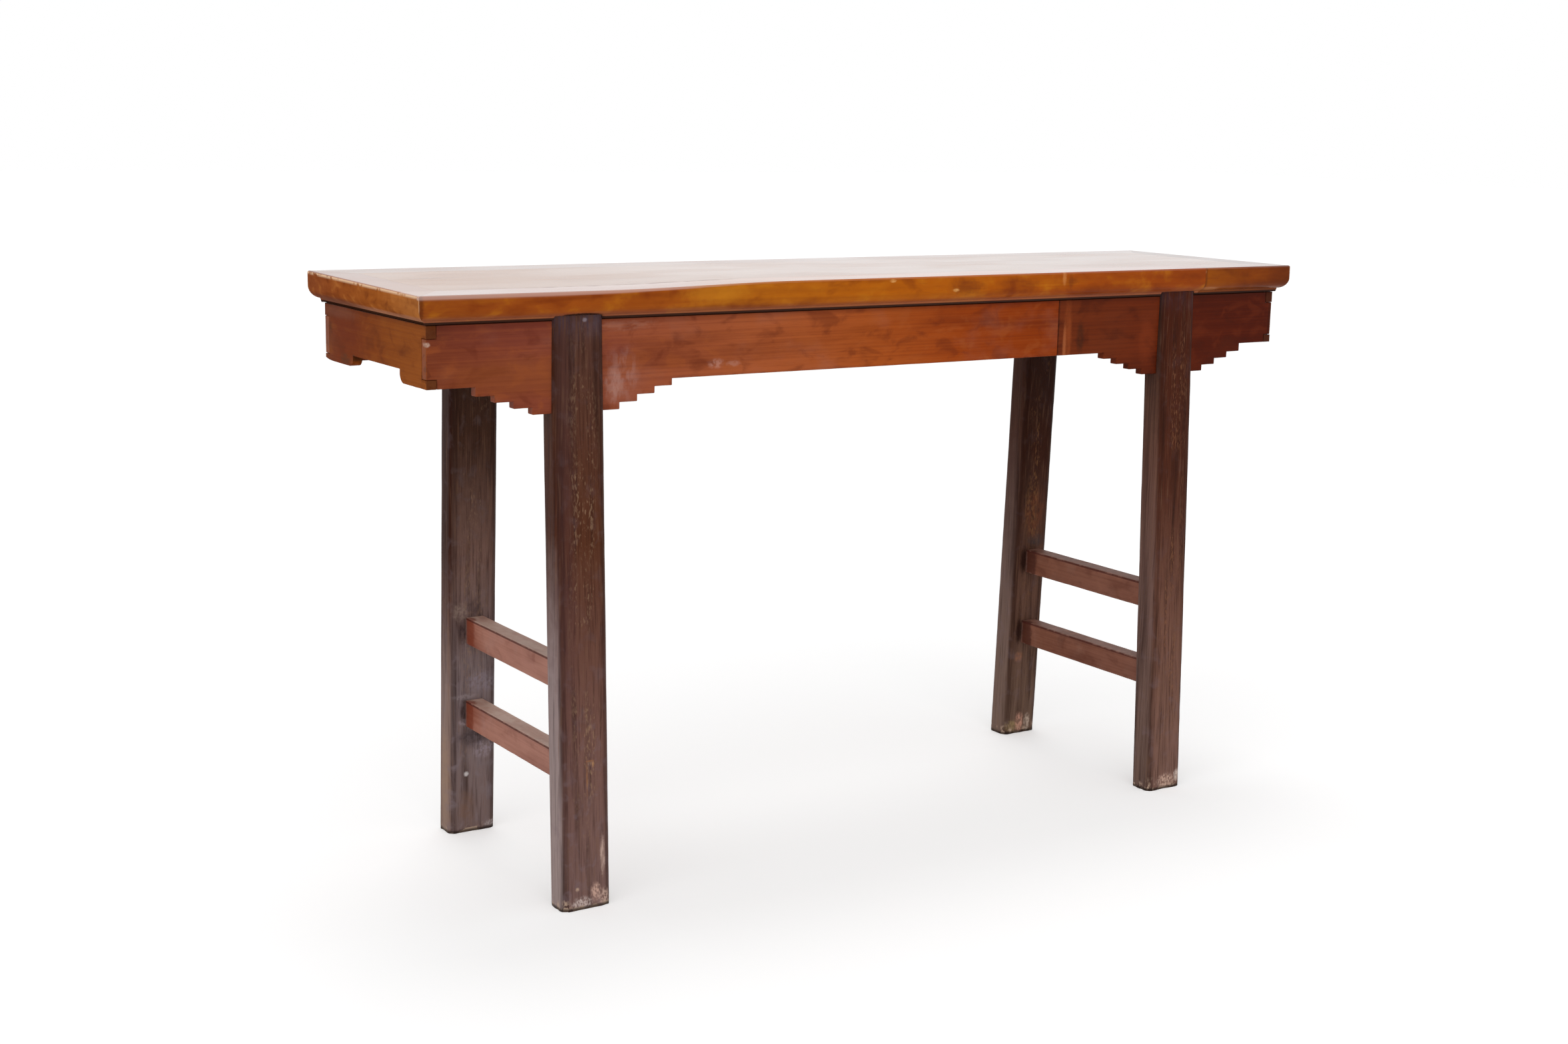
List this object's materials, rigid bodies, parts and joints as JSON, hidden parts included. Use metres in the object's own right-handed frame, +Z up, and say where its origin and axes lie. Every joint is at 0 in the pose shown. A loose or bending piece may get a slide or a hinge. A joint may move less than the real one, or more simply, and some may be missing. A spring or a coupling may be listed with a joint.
{
  "type": "altar table",
  "caption": "Long narrow wooden side table with a framed, moulded top, splayed recessed legs, a stepped front apron and twin end stretchers.",
  "frame": {"origin": "on the floor, under the middle of the table's bounding box", "axes": "+X along the table's length to the right seen from the front, +Y from the front to the back, +Z up"},
  "size_m": [1.528, 0.415, 0.85],
  "materials": {
    "amber_top": "amber varnish over lengthwise grain, glossy, worn at the arrises",
    "red_apron": "red-brown stain over lengthwise grain, satin, dusty scuffs",
    "dark_leg": "dark worn lacquer, chipped at the feet",
    "red_stretcher": "red-brown stain, satin, worn",
    "bare_wood": "unfinished, aged"
  },
  "bodies": {
    "root": {"front_stile": "amber_top", "front_stile_splice": "amber_top", "back_stile": "amber_top", "left_end_member": "amber_top", "right_end_member": "amber_top", "front_panel_board": "amber_top", "back_panel_board": "amber_top", "corner_pins": "bare_wood", "left_batten": "bare_wood", "middle_batten": "bare_wood", "right_batten": "bare_wood", "front_apron_left_board": "red_apron", "front_apron_right_board": "red_apron", "back_apron": "red_apron", "left_end_apron": "red_apron", "right_end_apron": "red_apron", "front_left_leg": "dark_leg", "front_right_leg": "dark_leg", "back_left_leg": "dark_leg", "back_right_leg": "dark_leg", "left_lower_stretcher": "red_stretcher", "left_upper_stretcher": "red_stretcher", "right_lower_stretcher": "red_stretcher", "right_upper_stretcher": "red_stretcher"}
  },
  "joints": []
}
